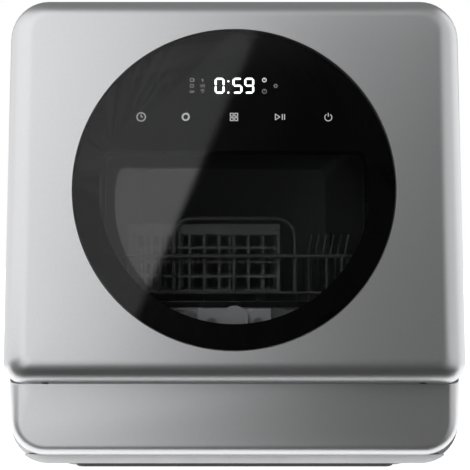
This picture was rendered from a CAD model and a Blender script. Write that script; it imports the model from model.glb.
import math

import bmesh
import bpy
from mathutils import Euler, Matrix, Vector


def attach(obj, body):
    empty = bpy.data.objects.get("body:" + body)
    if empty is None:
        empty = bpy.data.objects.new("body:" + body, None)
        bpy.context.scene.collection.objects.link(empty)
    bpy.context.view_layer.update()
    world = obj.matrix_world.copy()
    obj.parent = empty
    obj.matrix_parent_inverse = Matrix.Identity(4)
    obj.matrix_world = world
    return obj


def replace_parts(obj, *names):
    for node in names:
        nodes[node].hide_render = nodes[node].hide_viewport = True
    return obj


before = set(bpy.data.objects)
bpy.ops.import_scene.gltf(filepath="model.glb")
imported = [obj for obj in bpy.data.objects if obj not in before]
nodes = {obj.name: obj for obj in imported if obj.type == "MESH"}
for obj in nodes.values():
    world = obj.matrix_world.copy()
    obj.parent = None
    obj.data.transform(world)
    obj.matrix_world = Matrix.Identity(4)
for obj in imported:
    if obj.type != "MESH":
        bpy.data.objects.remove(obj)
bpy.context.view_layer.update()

# Sizes repeated from the part's source, in metres
LEAN = math.radians(4.2)
HINGE = Vector((0, -0.1925, 0.108))
BARREL = 0.025
TROUGH_R = 0.0256
HALF_DOOR = 0.210
DOOR_H = 0.3284
SIDE_R = 0.028
TOP_R = 0.020
CORNER_R = 0.036
FOOT_R = 0.020
SHELL = 0.0025
GLASS_R = 0.1445
GLASS_Z = 0.151
LEDGE_Y = -0.0198
EDGE_BREAK = 0.0004
ARM_SLOT = (0.006, 0.20, 0.110)
ARM_SLOT_X = 0.170
DOOR = Matrix.Translation(HINGE) @ Matrix.Rotation(-LEAN, 4, "X")


# Small helpers
def link(name, mesh):
    obj = bpy.data.objects.new(name, mesh)
    bpy.context.scene.collection.objects.link(obj)
    return obj


def from_bmesh(name, bm, smooth=True):
    mesh = bpy.data.meshes.new(name)
    bmesh.ops.recalc_face_normals(bm, faces=bm.faces)
    bm.to_mesh(mesh)
    bm.free()
    for p in mesh.polygons:
        p.use_smooth = smooth
    return link(name, mesh)


def apply_modifiers(obj):
    bpy.context.view_layer.update()
    deps = bpy.context.evaluated_depsgraph_get()
    mesh = bpy.data.meshes.new_from_object(obj.evaluated_get(deps))
    obj.modifiers.clear()
    old = obj.data
    obj.data = mesh
    bpy.data.meshes.remove(old)
    return obj


def by_angle(obj, degrees=35):
    obj.data.shade_smooth() if hasattr(obj.data, "shade_smooth") else None
    if hasattr(obj.data, "set_sharp_from_angle"):
        obj.data.set_sharp_from_angle(angle=math.radians(degrees))
    return obj


# Materials
class Nodes:
    """Builds one material's node tree."""

    def __init__(self, name):
        self.mat = bpy.data.materials.new(name)
        self.mat.use_nodes = True
        self.tree = self.mat.node_tree
        self.bsdf = self.tree.nodes["Principled BSDF"]
        self.coords = self.add("ShaderNodeTexCoord").outputs["Object"]

    def add(self, kind, **values):
        node = self.tree.nodes.new(kind)
        for key, value in values.items():
            setattr(node, key, value)
        return node

    def join(self, out, socket):
        self.tree.links.new(out, socket)

    def set(self, **values):
        for key, value in values.items():
            self.bsdf.inputs[key.replace("_", " ")].default_value = value
        return self

    def scaled(self, scale, source=None):
        m = self.add("ShaderNodeMapping")
        self.join(source or self.coords, m.inputs["Vector"])
        m.inputs["Scale"].default_value = scale
        return m.outputs["Vector"]

    def noise(self, scale, detail=2.0, stretch=None, rough=0.5):
        n = self.add("ShaderNodeTexNoise")
        n.inputs["Scale"].default_value = scale
        n.inputs["Detail"].default_value = detail
        n.inputs["Roughness"].default_value = rough
        self.join(self.scaled(stretch) if stretch else self.coords, n.inputs["Vector"])
        return n.outputs["Fac"]

    def ramp(self, fac, stops):
        r = self.add("ShaderNodeValToRGB")
        ramp = r.color_ramp
        while len(ramp.elements) < len(stops):
            ramp.elements.new(0.5)
        for e, (pos, col) in zip(ramp.elements, stops):
            e.position = pos
            e.color = col if len(col) == 4 else (*col, 1)
        self.join(fac, r.inputs["Fac"])
        return r.outputs["Color"]

    def span(self, fac, low, high):
        m = self.add("ShaderNodeMapRange")
        m.inputs["To Min"].default_value = low
        m.inputs["To Max"].default_value = high
        self.join(fac, m.inputs["Value"])
        return m.outputs["Result"]

    def math(self, op, a, b=None):
        m = self.add("ShaderNodeMath", operation=op)
        for socket, v in zip(m.inputs, (a, b)):
            if v is None:
                continue
            if isinstance(v, (int, float)):
                socket.default_value = v
            else:
                self.join(v, socket)
        return m.outputs[0]

    def bump(self, height, strength, distance):
        b = self.add("ShaderNodeBump")
        b.inputs["Strength"].default_value = strength
        b.inputs["Distance"].default_value = distance
        self.join(height, b.inputs["Height"])
        self.join(b.outputs["Normal"], self.bsdf.inputs["Normal"])
        return self

    def color(self, out):
        self.join(out, self.bsdf.inputs["Base Color"])
        return self

    def rough(self, out):
        self.join(out, self.bsdf.inputs["Roughness"])
        return self


def grey(v, a=1.0):
    return (v, v, v, a)


def tint(c, k):
    return (min(c[0] * k, 1), min(c[1] * k, 1), min(c[2] * k, 1), 1)


def metallic_paint(name, base, rough=0.34):
    m = Nodes(name).set(Metallic=0.86, Coat_Weight=0.25, Coat_Roughness=0.12)
    cells = m.add("ShaderNodeTexVoronoi")
    cells.inputs["Scale"].default_value = 1900
    m.join(m.coords, cells.inputs["Vector"])
    flakes = m.ramp(cells.outputs["Color"], [(0.2, tint(base, 0.94)), (0.8, tint(base, 1.05))])
    cloud = m.ramp(m.noise(9, 3), [(0.3, tint(base, 0.985)), (0.7, tint(base, 1.015))])
    mix = m.add("ShaderNodeMix", data_type="RGBA")
    mix.inputs["Factor"].default_value = 0.5
    m.join(flakes, mix.inputs["A"])
    m.join(cloud, mix.inputs["B"])
    m.color(mix.outputs["Result"])
    m.rough(m.span(m.noise(420, 3), rough - 0.03, rough + 0.05))
    m.bump(m.noise(1500, 2), 0.05, 0.0002)
    return m.mat


def plastic(name, base, rough=0.45, grain=900, strength=0.12, metallic=0.0):
    m = Nodes(name).set(Metallic=metallic, IOR=1.46)
    m.color(m.ramp(m.noise(35, 4), [(0.3, tint(base, 0.95)), (0.7, tint(base, 1.05))]))
    m.rough(m.span(m.noise(260, 3), rough - 0.06, rough + 0.08))
    m.bump(m.noise(grain, 3), strength, 0.0003)
    return m.mat


def rubber(name, base=(0.018, 0.018, 0.019)):
    m = Nodes(name).set(IOR=1.5)
    m.color(m.ramp(m.noise(70, 4), [(0.3, tint(base, 0.8)), (0.7, tint(base, 1.5))]))
    m.rough(m.span(m.noise(300, 3), 0.62, 0.82))
    m.bump(m.noise(1400, 4), 0.3, 0.0003)
    return m.mat


def brushed(name, base, stretch, rough=0.3, strength=0.08):
    m = Nodes(name).set(Metallic=1.0)
    lines = m.noise(220, 4, stretch=stretch, rough=0.6)
    wide = m.noise(14, 3)
    m.color(m.ramp(lines, [(0.3, tint(base, 0.9)), (0.7, tint(base, 1.06))]))
    mixed = m.math("ADD", m.math("MULTIPLY", lines, 0.7), m.math("MULTIPLY", wide, 0.3))
    m.rough(m.span(mixed, rough - 0.08, rough + 0.12))
    m.bump(lines, strength, 0.0002)
    return m.mat


def plated(name, base, rough=0.38):
    m = Nodes(name).set(Metallic=0.95)
    spangle = m.add("ShaderNodeTexVoronoi")
    spangle.inputs["Scale"].default_value = 140
    m.join(m.coords, spangle.inputs["Vector"])
    m.color(m.ramp(spangle.outputs["Color"], [(0.1, tint(base, 0.9)), (0.9, tint(base, 1.08))]))
    m.rough(m.span(m.noise(60, 4), rough - 0.07, rough + 0.1))
    m.bump(m.noise(500, 3), 0.06, 0.0002)
    return m.mat


def thread(name, base, start, pitch):
    """Moulded plastic with a screw thread behind a plane across Y."""
    m = Nodes(name).set(IOR=1.46)
    m.color(m.ramp(m.noise(35, 4), [(0.3, tint(base, 0.95)), (0.7, tint(base, 1.05))]))
    m.rough(m.span(m.noise(260, 3), 0.34, 0.48))
    axes = m.add("ShaderNodeSeparateXYZ")
    m.join(m.coords, axes.inputs[0])
    wave = m.math("SINE", m.math("MULTIPLY", axes.outputs["Y"], 2 * math.pi / pitch))
    m.bump(m.math("MULTIPLY", wave, m.math("GREATER_THAN", axes.outputs["Y"], start)), 0.8, 0.0008)
    return m.mat


def pane(name, base, alpha, ior, rough=0.03):
    m = Nodes(name).set(Alpha=alpha, IOR=ior)
    m.bsdf.inputs["Specular IOR Level"].default_value = 1.0
    m.color(m.ramp(m.noise(6, 3), [(0.3, tint(base, 0.9)), (0.7, tint(base, 1.1))]))
    m.rough(m.span(m.noise(30, 4), rough, rough + 0.02))
    m.bump(m.noise(12, 2), 0.02, 0.0001)
    m.mat.surface_render_method = "BLENDED"
    return m.mat


def glow(name, color, strength):
    m = Nodes(name).set(Base_Color=(0.02, 0.02, 0.02, 1), Emission_Strength=strength)
    m.join(m.ramp(m.noise(900, 2), [(0.3, tint(color, 0.93)), (0.7, tint(color, 1.0))]),
           m.bsdf.inputs["Emission Color"])
    m.rough(m.span(m.noise(300, 2), 0.3, 0.4))
    return m.mat


SILVER = (0.66, 0.665, 0.675)
silver = metallic_paint("silver_paint", SILVER)
case_silver = metallic_paint("case_paint", SILVER, 0.36)
rear_steel = plated("rear_steel", (0.62, 0.63, 0.645), 0.42)
white_pan = plastic("pan_plastic", (0.86, 0.865, 0.87), 0.42)
plinth_grey = plastic("plinth_plastic", (0.085, 0.088, 0.09), 0.5)
foot_grey = plastic("foot_plastic", (0.75, 0.76, 0.77), 0.45)
dark = plastic("dark_plastic", (0.035, 0.036, 0.038), 0.48)
black_rubber = rubber("black_rubber")
tub_steel = brushed("tub_steel", (0.40, 0.405, 0.41), (1, 0.06, 1), 0.38)
liner_steel = brushed("liner_steel", (0.66, 0.665, 0.67), (0.05, 1, 1), 0.27)
arm_steel = brushed("arm_steel", (0.68, 0.685, 0.69), (1, 0.15, 1), 0.25)
sieve_steel = brushed("sieve_steel", (0.6, 0.605, 0.61), (1, 1, 1), 0.33)
zinc = plated("zinc", (0.55, 0.56, 0.58))
screw_metal = plated("screw_metal", (0.42, 0.42, 0.43), 0.3)
front_glass = pane("front_glass", (0.004, 0.004, 0.0045), 0.22, 1.54)
clear_pane = pane("clear_pane", (0.008, 0.009, 0.009), 0.24, 2.0)
print_black = plastic("print_black", (0.0035, 0.0035, 0.004), 0.3, 600, 0.02)
print_black.node_tree.nodes["Principled BSDF"].inputs["Specular IOR Level"].default_value = 0.1
gloss_black = plastic("gloss_black", (0.006, 0.006, 0.007), 0.2, 600, 0.03)
board_green = plastic("board_green", (0.015, 0.12, 0.05), 0.4, 300, 0.2)
gold = brushed("spring_metal", (0.75, 0.58, 0.28), (1, 1, 1), 0.25)
wire = plastic("wire_coat", (0.30, 0.305, 0.31), 0.38, 1200, 0.08)
basket_grey = plastic("basket_plastic", (0.46, 0.47, 0.48), 0.5)
disp_grey = plastic("dispenser_plastic", (0.42, 0.43, 0.44), 0.4)
motor_grey = plastic("motor_plastic", (0.12, 0.125, 0.13), 0.5)
cup_grey = plastic("cup_plastic", (0.16, 0.165, 0.17), 0.45)
white = plastic("white_plastic", (0.78, 0.78, 0.76), 0.4)
thread_white = thread("thread_plastic", (0.78, 0.78, 0.76), start=0.189, pitch=0.0018)
tank_milk = plastic("tank_plastic", (0.72, 0.76, 0.78), 0.5)
orange = plastic("lever_plastic", (0.75, 0.22, 0.03), 0.42)

LOOKS = {
    silver: ["door_shell", "lower_front_panel", "fill_lid"],
    case_silver: ["outer_wrap"],
    rear_steel: ["rear_panel"],
    white_pan: ["base_pan"],
    plinth_grey: ["plinth"],
    foot_grey: ["foot_stems"],
    dark: ["fill_port", "sump", "spray_hub", "arm_cap", "blower_housing", "drain_outlet", "rack_glides",
           "air_duct"],
    black_rubber: ["rubber_feet", "tub_seal", "door_seals", "cable_gland"],
    tub_steel: ["tub", "rack_rails", "heater"],
    liner_steel: ["door_liner", "door_striker"],
    arm_steel: ["spray_arm"],
    sieve_steel: ["filter_plate"],
    zinc: ["hinge_brackets", "door_frame", "fill_lid_pin"],
    screw_metal: ["case_screws", "dispenser_screws"],
    front_glass: ["door_glass"],
    clear_pane: ["inner_pane"],
    print_black: ["glass_print"],
    gloss_black: ["display_module"],
    board_green: ["display_board", "main_board"],
    gold: ["touch_springs"],
    wire: ["rack_frame", "rack_sides", "rack_floor", "rack_handle", "plate_tines"],
    basket_grey: ["cutlery_basket", "basket_dividers", "control_box"],
    disp_grey: ["dispenser_body", "dispenser_lid"],
    motor_grey: ["wash_pump", "drain_pump", "door_lock_body", "inner_pipes"],
    cup_grey: ["filter_cup"],
    white: ["hinge_bushes", "pump_impeller", "fan_wheel"],
    thread_white: ["inlet_valve"],
    tank_milk: ["water_tank"],
    orange: ["lock_lever"],
}
for material, names in LOOKS.items():
    for name in names:
        mesh = nodes[name].data
        mesh.materials.clear()
        mesh.materials.append(material)
        for p in mesh.polygons:
            p.material_index = 0


# The door's smooth skin
def arc_points(cx, cz, r, a0, a1, n):
    return [(cx + r * math.cos(math.radians(a0 + (a1 - a0) * i / n)),
             cz + r * math.sin(math.radians(a0 + (a1 - a0) * i / n))) for i in range(n + 1)]


def outline(half, low, high, r_low, r_high, n=10, side=30, across=36):
    """Closed outline in X and Z, anticlockwise seen from the front, always with the same number of points."""
    pts = []
    for cx, cz, r, a0 in ((half - r_low, low + r_low, r_low, -90), (half - r_high, high - r_high, r_high, 0),
                          (r_high - half, high - r_high, r_high, 90), (r_low - half, low + r_low, r_low, 180)):
        pts.append(arc_points(cx, cz, r, a0, a0 + 90, n))
    steps = (side, across, side, across)
    out = []
    for i in range(4):
        out += pts[i]
        a, b = pts[i][-1], pts[(i + 1) % 4][0]
        for k in range(1, steps[i]):
            t = k / steps[i]
            out.append((a[0] + (b[0] - a[0]) * t, a[1] + (b[1] - a[1]) * t))
    return out


def edge_round(depth, r):
    """How far a rounding of radius r has drawn in at a depth behind the front face."""
    return 0.0 if depth >= r else r - math.sqrt(max(r * r - (r - depth) ** 2, 0.0))


def ring_strip(bm, rings):
    verts = [[bm.verts.new(p) for p in ring] for ring in rings]
    n = len(rings[0])
    for a, b in zip(verts, verts[1:]):
        for i in range(n):
            j = (i + 1) % n
            bm.faces.new((a[i], a[j], b[j], b[i]))
    return verts


def door_skin():
    front = -BARREL
    depths = [SIDE_R * (1 - math.sin(math.radians(a))) for a in
              (90, 87, 83, 78, 72, 66, 60, 54, 48, 42, 36, 30, 24, 18, 12, 6, 0)]
    depths += [0.033, 0.038, 0.043, 0.047, 0.0498]
    rings = []
    for d in depths:
        y = front + d
        side_in = edge_round(d, SIDE_R)
        top_in = edge_round(d, TOP_R)
        low = -math.sqrt(max(BARREL ** 2 - y * y, 0.0))
        share = side_in / SIDE_R
        r_high = CORNER_R - 0.85 * (side_in + top_in) / 2
        r_low = FOOT_R - 0.0135 * share
        rings.append([(x, y, z) for x, z in
                      outline(HALF_DOOR - side_in, low, DOOR_H - top_in, r_low, r_high)])
    bm = bmesh.new()
    # Flat front between the first ring and the round recess
    first = rings[0]
    hole = []
    for x, y, z in first:
        a = math.atan2(z - GLASS_Z, x)
        hole.append(((GLASS_R + 0.0003) * math.cos(a), front, GLASS_Z + (GLASS_R + 0.0003) * math.sin(a)))
    mid = [tuple((p + q) / 2 for p, q in zip(a, b)) for a, b in zip(first, hole)]
    wider = 1 + EDGE_BREAK / GLASS_R
    edge = [(x * wider, y, GLASS_Z + (z - GLASS_Z) * wider) for x, y, z in hole]
    lip = [(x, front + 0.0005, z) for x, y, z in hole]
    deep = [(x, LEDGE_Y + 0.0018, z) for x, y, z in hole]
    ring_strip(bm, [deep, lip, edge, mid] + rings)
    obj = from_bmesh("door_skin", bm)
    solid = obj.modifiers.new("wall", "SOLIDIFY")
    solid.thickness = SHELL - 0.0001
    solid.offset = -1
    apply_modifiers(obj)
    cutters = []
    for s in (-1, 1):
        bm = bmesh.new()
        bmesh.ops.create_cube(bm, size=1.0)
        bmesh.ops.scale(bm, verts=bm.verts, vec=ARM_SLOT)
        bmesh.ops.translate(bm, verts=bm.verts, vec=(s * ARM_SLOT_X, -0.010 + 0.100, 0.010 - 0.055))
        cutters.append(from_bmesh("cutter", bm, False))
    for c in cutters:
        cut = obj.modifiers.new("slot", "BOOLEAN")
        cut.object = c
        cut.operation = "DIFFERENCE"
        cut.solver = "EXACT"
    apply_modifiers(obj)
    for c in cutters:
        bpy.data.objects.remove(c)
    by_angle(obj, 40)
    obj.data.transform(DOOR)
    obj.data.materials.clear()
    obj.data.materials.append(silver)
    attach(obj, "door")
    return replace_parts(obj, "door_shell")


door_skin()


# The lower panel's smooth skin
def panel_skin():
    front, seam = -0.1925, -0.1768
    half, low, side_r, under_r, corner = 0.209, 0.0147, 0.015, 0.012, 0.034
    wall = 0.0019
    depths = [side_r * (1 - math.sin(math.radians(a))) for a in
              (90, 86, 81, 75, 68, 60, 52, 44, 36, 28, 20, 10, 0)] + [seam - front]

    def trough(y):
        return HINGE.z - math.sqrt(TROUGH_R ** 2 - (y - HINGE.y) ** 2)

    def loops(shrink):
        rings = []
        for d in depths:
            y = front + d
            side_in, under_in = edge_round(d, side_r), edge_round(d, under_r)
            r_low = corner - 0.85 * (side_in + under_in) / 2 - shrink
            rings.append([(x, y + (shrink if d == 0 else 0), z) for x, z in
                          outline(half - side_in - shrink, low + under_in + shrink, trough(y) - shrink,
                                  r_low, 0.0006)])
        return rings

    bm = bmesh.new()
    outer = ring_strip(bm, loops(0))
    inner = ring_strip(bm, loops(wall))
    bm.faces.new(outer[0])
    bm.faces.new(list(reversed(inner[0])))
    n = len(outer[-1])
    for i in range(n):
        j = (i + 1) % n
        bm.faces.new((outer[-1][i], outer[-1][j], inner[-1][j], inner[-1][i]))
    obj = from_bmesh("lower_panel_skin", bm)
    by_angle(obj, 38)
    obj.data.materials.append(silver)
    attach(obj, "root")
    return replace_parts(obj, "lower_front_panel")


panel_skin()


# Lit figures and symbols behind the glass
class Flat:
    """Collects flat strokes in the door's own X and Z, in millimetres."""

    def __init__(self):
        self.bm = bmesh.new()

    def poly(self, points):
        self.bm.faces.new([self.bm.verts.new((x / 1000, 0, z / 1000)) for x, z in points])

    def bar(self, a, b, width):
        (ax, az), (bx, bz) = a, b
        length = math.hypot(bx - ax, bz - az)
        ux, uz = (bx - ax) / length, (bz - az) / length
        k = width / 2
        self.poly([(ax + uz * k, az - ux * k), (bx + uz * k, bz - ux * k), (bx - uz * k, bz + ux * k),
                   (ax - uz * k, az + ux * k)])

    def segment(self, a, b, width):
        """A display segment with pointed ends."""
        (ax, az), (bx, bz) = a, b
        length = math.hypot(bx - ax, bz - az)
        ux, uz = (bx - ax) / length, (bz - az) / length
        k = width / 2
        self.poly([(ax, az), (ax + ux * k + uz * k, az + uz * k - ux * k),
                   (bx - ux * k + uz * k, bz - uz * k - ux * k), (bx, bz),
                   (bx - ux * k - uz * k, bz - uz * k + ux * k),
                   (ax + ux * k - uz * k, az + uz * k + ux * k)])

    def ring(self, cx, cz, r, width, a0=0, a1=360, n=28):
        lo, hi = r - width / 2, r + width / 2
        for i in range(n):
            a = math.radians(a0 + (a1 - a0) * i / n)
            b = math.radians(a0 + (a1 - a0) * (i + 1) / n)
            self.poly([(cx + lo * math.cos(a), cz + lo * math.sin(a)),
                       (cx + hi * math.cos(a), cz + hi * math.sin(a)),
                       (cx + hi * math.cos(b), cz + hi * math.sin(b)),
                       (cx + lo * math.cos(b), cz + lo * math.sin(b))])

    def disc(self, cx, cz, r, n=20):
        turns = [2 * math.pi * i / n for i in range(n)]
        self.poly([(cx + r * math.cos(a), cz + r * math.sin(a)) for a in turns])

    def frame(self, cx, cz, w, h, width):
        x0, x1, z0, z1 = cx - w / 2, cx + w / 2, cz - h / 2, cz + h / 2
        for a, b in (((x0 - width / 2, z0), (x1 + width / 2, z0)), ((x0 - width / 2, z1), (x1 + width / 2, z1)),
                     ((x0, z0), (x0, z1)), ((x1, z0), (x1, z1))):
            self.bar(a, b, width)

    def done(self, name, material, depth=0.0209):
        bmesh.ops.remove_doubles(self.bm, verts=self.bm.verts, dist=1e-6)
        geom = bmesh.ops.extrude_face_region(self.bm, geom=list(self.bm.faces))
        bmesh.ops.translate(self.bm, verts=[g for g in geom["geom"] if isinstance(g, bmesh.types.BMVert)],
                            vec=(0, 0.00004, 0))
        bmesh.ops.translate(self.bm, verts=self.bm.verts, vec=(0, -depth, 0))
        obj = from_bmesh(name, self.bm, False)
        obj.data.transform(DOOR)
        obj.data.materials.append(material)
        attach(obj, "door")
        return obj


SEGMENTS = {"0": "abcdef", "5": "acdfg", "9": "abcdfg"}


def digit(flat, char, x0, z0, w=8.9, h=14.5, stroke=1.7):
    k, g = stroke / 2, 0.28
    xl, xr, zb, zt = x0 + k, x0 + w - k, z0 + k, z0 + h - k
    zm = (zb + zt) / 2
    ends = {"a": ((xl, zt), (xr, zt)), "g": ((xl, zm), (xr, zm)), "d": ((xl, zb), (xr, zb)),
            "f": ((xl, zm), (xl, zt)), "b": ((xr, zm), (xr, zt)),
            "e": ((xl, zb), (xl, zm)), "c": ((xr, zb), (xr, zm))}
    for key in SEGMENTS[char]:
        (ax, az), (bx, bz) = ends[key]
        ux, uz = (1, 0) if az == bz else (0, 1)
        flat.segment((ax + ux * g, az + uz * g), (bx - ux * g, bz - uz * g), stroke)


digits = Flat()
for char, x in (("0", -17.9), ("5", -1.7), ("9", 9.0)):
    digit(digits, char, x, 237.6)
for z in (248.9, 238.5):
    digits.disc(-5.5, z, 0.85)
digits.done("display_digits", glow("digit_light", (1.0, 1.0, 1.0), 3.2))

# Small status symbols beside the figures
small = Flat()
small.frame(-38.6, 250.1, 3.0, 2.8, 0.5)
small.bar((-36.6, 249.2), (-36.6, 251.0), 0.5)
small.frame(-38.6, 244.7, 2.6, 2.4, 0.5)
small.ring(-38.6, 239.8, 1.5, 0.5, 180, 360)
small.bar((-40.9, 239.8), (-36.3, 239.8), 0.5)
small.bar((-28.9, 248.4), (-28.9, 251.4), 0.6)
small.bar((-29.8, 250.4), (-28.0, 250.4), 0.5)
for dx in (-1.5, 0, 1.5):
    small.bar((-28.9 + dx, 243.4), (-28.9 + dx, 246.1), 0.55)
small.ring(-28.9, 239.3, 1.9, 0.55, 20, 160)
small.disc(-28.9, 238.9, 0.6)
small.ring(37.5, 244.7, 1.2, 0.5)
for k in range(6):
    a = math.radians(60 * k)
    small.bar((37.5 + 1.2 * math.cos(a), 244.7 + 1.2 * math.sin(a)),
              (37.5 + 2.2 * math.cos(a), 244.7 + 2.2 * math.sin(a)), 0.45)
small.ring(27.2, 239.6, 1.9, 0.5)
small.bar((27.2, 239.6), (27.2, 240.8), 0.4)
small.done("status_symbols", glow("status_light", (0.75, 0.76, 0.78), 0.42))
lit = Flat()
lit.ring(27.2, 250.1, 1.7, 0.8)
lit.bar((27.2, 250.1), (27.2, 251.4), 0.5)
lit.done("status_symbol_lit", glow("lit_light", (0.9, 0.9, 0.92), 1.0))

# Touch symbols: clock, cycle ring, grid, start and pause, power
touch = Flat()
key_z = 216.0
touch.ring(-84.4, key_z, 3.8, 0.85)
touch.bar((-84.4, key_z - 0.3), (-84.4, key_z + 2.3), 0.75)
touch.bar((-84.7, key_z), (-82.6, key_z), 0.75)
touch.ring(-44.1, key_z, 2.9, 1.5, 75, 400)
touch.poly([(-42.9, key_z + 4.4), (-40.7, key_z + 2.0), (-44.0, key_z + 1.9)])
for dx in (-2.0, 2.0):
    for dz in (-2.0, 2.0):
        touch.frame(-0.4 + dx, key_z + dz, 2.6, 2.6, 0.8)
for a, b in (((37.0, key_z + 2.9), (37.0, key_z - 2.9)), ((37.0, key_z - 2.7), (41.2, key_z)),
             ((41.2, key_z), (37.0, key_z + 2.7))):
    touch.bar(a, b, 0.8)
for x in (43.3, 45.3):
    touch.bar((x, key_z - 2.6), (x, key_z + 2.6), 0.9)
touch.ring(84.9, key_z - 0.4, 3.2, 0.8, 122, 418)
touch.bar((84.9, key_z + 0.2), (84.9, key_z + 3.7), 0.8)
touch.done("touch_symbols", glow("touch_light", (0.8, 0.8, 0.82), 0.75))


# Camera
camera = bpy.data.cameras.new("camera")
camera.lens = 52.5
camera.sensor_width = 36
camera.sensor_fit = "HORIZONTAL"
camera.shift_x = 0.0012
camera.shift_y = 0.038
camera.clip_start = 0.02
cam = bpy.data.objects.new("camera", camera)
bpy.context.scene.collection.objects.link(cam)
cam.location = (0, -0.8175, 0.202)
cam.rotation_euler = Euler((math.radians(90), 0, 0))
bpy.context.scene.camera = cam


# Floor
white_floor = Nodes("white_floor").set(IOR=1.3, Emission_Color=(1, 1, 1, 1), Emission_Strength=0.88)
white_floor.color(white_floor.ramp(white_floor.noise(1.2, 3), [(0.3, grey(0.86)), (0.7, grey(0.88))]))
white_floor.rough(white_floor.span(white_floor.noise(4, 2), 0.7, 0.8))


def sheet(name, corners, z, glossy):
    mesh = bpy.data.meshes.new(name)
    mesh.from_pydata([(x, y, z) for x, y in corners], [], [(0, 1, 2, 3)])
    mesh.materials.append(white_floor.mat)
    obj = link(name, mesh)
    obj.visible_glossy = glossy
    obj.visible_diffuse = False


# Only the strip of floor at the machine's foot shows in the lower panel's rounding
sheet("floor", ((-8, -8), (8, -8), (8, 8), (-8, 8)), -0.0002, False)
sheet("near_floor", ((-0.5, -0.21), (0.5, -0.196), (0.5, 0.5), (-0.5, 0.5)), 0, True)


# Light
world = bpy.data.worlds.new("studio")
bpy.context.scene.world = world
world.use_nodes = True
w = world.node_tree
w.nodes.clear()


def wadd(kind, **values):
    node = w.nodes.new(kind)
    for key, value in values.items():
        setattr(node, key, value)
    return node


def wmath(op, a, b=None):
    m = wadd("ShaderNodeMath", operation=op)
    for socket, v in zip(m.inputs, (a, b)):
        if v is None:
            continue
        if isinstance(v, (int, float)):
            socket.default_value = v
        else:
            w.links.new(v, socket)
    return m.outputs[0]


def wstep(value, low, high, out_low, out_high):
    m = wadd("ShaderNodeMapRange", interpolation_type="SMOOTHSTEP")
    for key, v in (("From Min", low), ("From Max", high), ("To Min", out_low), ("To Max", out_high)):
        m.inputs[key].default_value = v
    w.links.new(value, m.inputs["Value"])
    return m.outputs["Result"]


coords = wadd("ShaderNodeTexCoord").outputs["Generated"]
parts = wadd("ShaderNodeSeparateXYZ")
w.links.new(coords, parts.inputs[0])
ex, ey, ez = parts.outputs

# The bright left of the studio ends at a slanting edge, and the fade runs over its whole front
EDGE = (0.9158, -0.1515, -0.3718)
dot = wadd("ShaderNodeVectorMath", operation="DOT_PRODUCT")
w.links.new(coords, dot.inputs[0])
dot.inputs[1].default_value = EDGE
left = wstep(dot.outputs["Value"], -0.006, 0.006, 1.0, 0.0)
right = wstep(dot.outputs["Value"], -0.006, 0.006, 0.0, 1.0)
low_fade = wstep(ex, -0.44, 0.18, 1.0, 0.0)
high_fade = wstep(ex, -0.34, 0.24, 1.0, 0.0)
SOFT = 0.08
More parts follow.
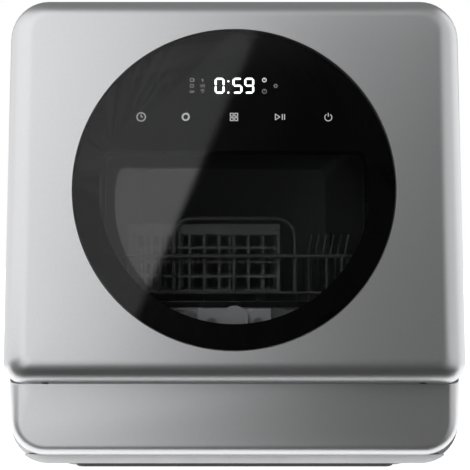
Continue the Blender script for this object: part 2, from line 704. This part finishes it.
# Name, strength, part of the studio, and the stretches of the direction's X, Y and Z
FIELDS = (
    ("front_left", 1.25, left, (-0.6, 0.6), (-1, 0), (-0.1, 0.45)),
    ("front_right", 0, right, (-0.6, 0.6), (-1, 0), (-0.1, 0.45)),
    ("low_fade", 1.4, low_fade, (-0.6, 0.6), (-1, 0), (-0.45, -0.1)),
    ("low_front", 0, None, (-0.6, 0.6), (-1, 0), (-0.45, -0.1)),
    ("below", 0, None, (-1, 1), (-1, 0), (-1, -0.45)),
    ("high_fade", 0.95, high_fade, (-0.6, 0.6), (-1, 0), (0.45, 0.8)),
    ("high_front", 0.35, None, (-0.6, 0.6), (-1, 0), (0.45, 0.8)),
    ("above", 0.11, None, (-1, 1), (-1, 1), (0.8, 1)),
    ("left_side", 1.25, None, (-1, -0.6), (-1, 0), (-0.15, 0.8)),
    ("left_side_low", 0.07, None, (-1, -0.6), (-1, 0), (-0.45, -0.15)),
    ("right_side", 0.75, None, (0.6, 1), (-1, 0), (-0.45, 0.8)),
    ("left_rear", 1.05, None, (-1, -0.6), (0, 1), (-0.35, 0.8)),
    ("right_rear", 1.2, None, (0.6, 1), (0, 1), (-0.35, 0.8)),
    ("rear", 0.95, None, (-0.6, 0.6), (0, 1), (-0.35, 0.15)),
    ("rear_low", 0.5, None, (-1, 1), (0, 1), (-1, -0.35)),
    ("rear_high", 0.1, None, (-0.6, 0.6), (0, 1), (0.15, 0.8)),
)


def field(part, stretches):
    """A soft patch of the studio: 1 inside the stretches of a direction's parts, 0 outside them."""
    masks = [part] if part else []
    for axis, (low, high) in zip((ex, ey, ez), stretches):
        if low > -1:
            masks.append(wstep(axis, low - SOFT, low + SOFT, 0.0, 1.0))
        if high < 1:
            masks.append(wstep(axis, high - SOFT, high + SOFT, 1.0, 0.0))
    patch = masks[0]
    for mask in masks[1:]:
        patch = wmath("MULTIPLY", patch, mask)
    return patch


studio = None
for name, strength, part, *stretches in FIELDS:
    lit = wmath("MULTIPLY", field(part, stretches), strength)
    lit.node.name = name
    studio = wmath("ADD", studio, lit) if studio else lit
path = wadd("ShaderNodeLightPath")
seen = wmath("MAXIMUM", studio, path.outputs["Is Camera Ray"])
back = wadd("ShaderNodeBackground")
back.inputs["Color"].default_value = (1, 1, 1, 1)
w.links.new(seen, back.inputs["Strength"])
out = wadd("ShaderNodeOutputWorld")
w.links.new(back.outputs[0], out.inputs["Surface"])


def area(name, size, place, target, power, size_y=None):
    light = bpy.data.lights.new(name, "AREA")
    light.shape = "RECTANGLE"
    light.size = size
    light.size_y = size_y or size
    light.energy = power
    obj = bpy.data.objects.new(name, light)
    bpy.context.scene.collection.objects.link(obj)
    obj.location = place
    obj.rotation_euler = (Vector(target) - Vector(place)).to_track_quat("-Z", "Y").to_euler()
    obj.visible_glossy = False
    return obj


area("key", 1.2, (-1.3, -1.6, 1.6), (0, 0, 0.2), 18)
area("top", 1.4, (0, 0.2, 2.0), (0, 0, 0.2), 16)

bpy.context.scene.view_settings.view_transform = "Standard"
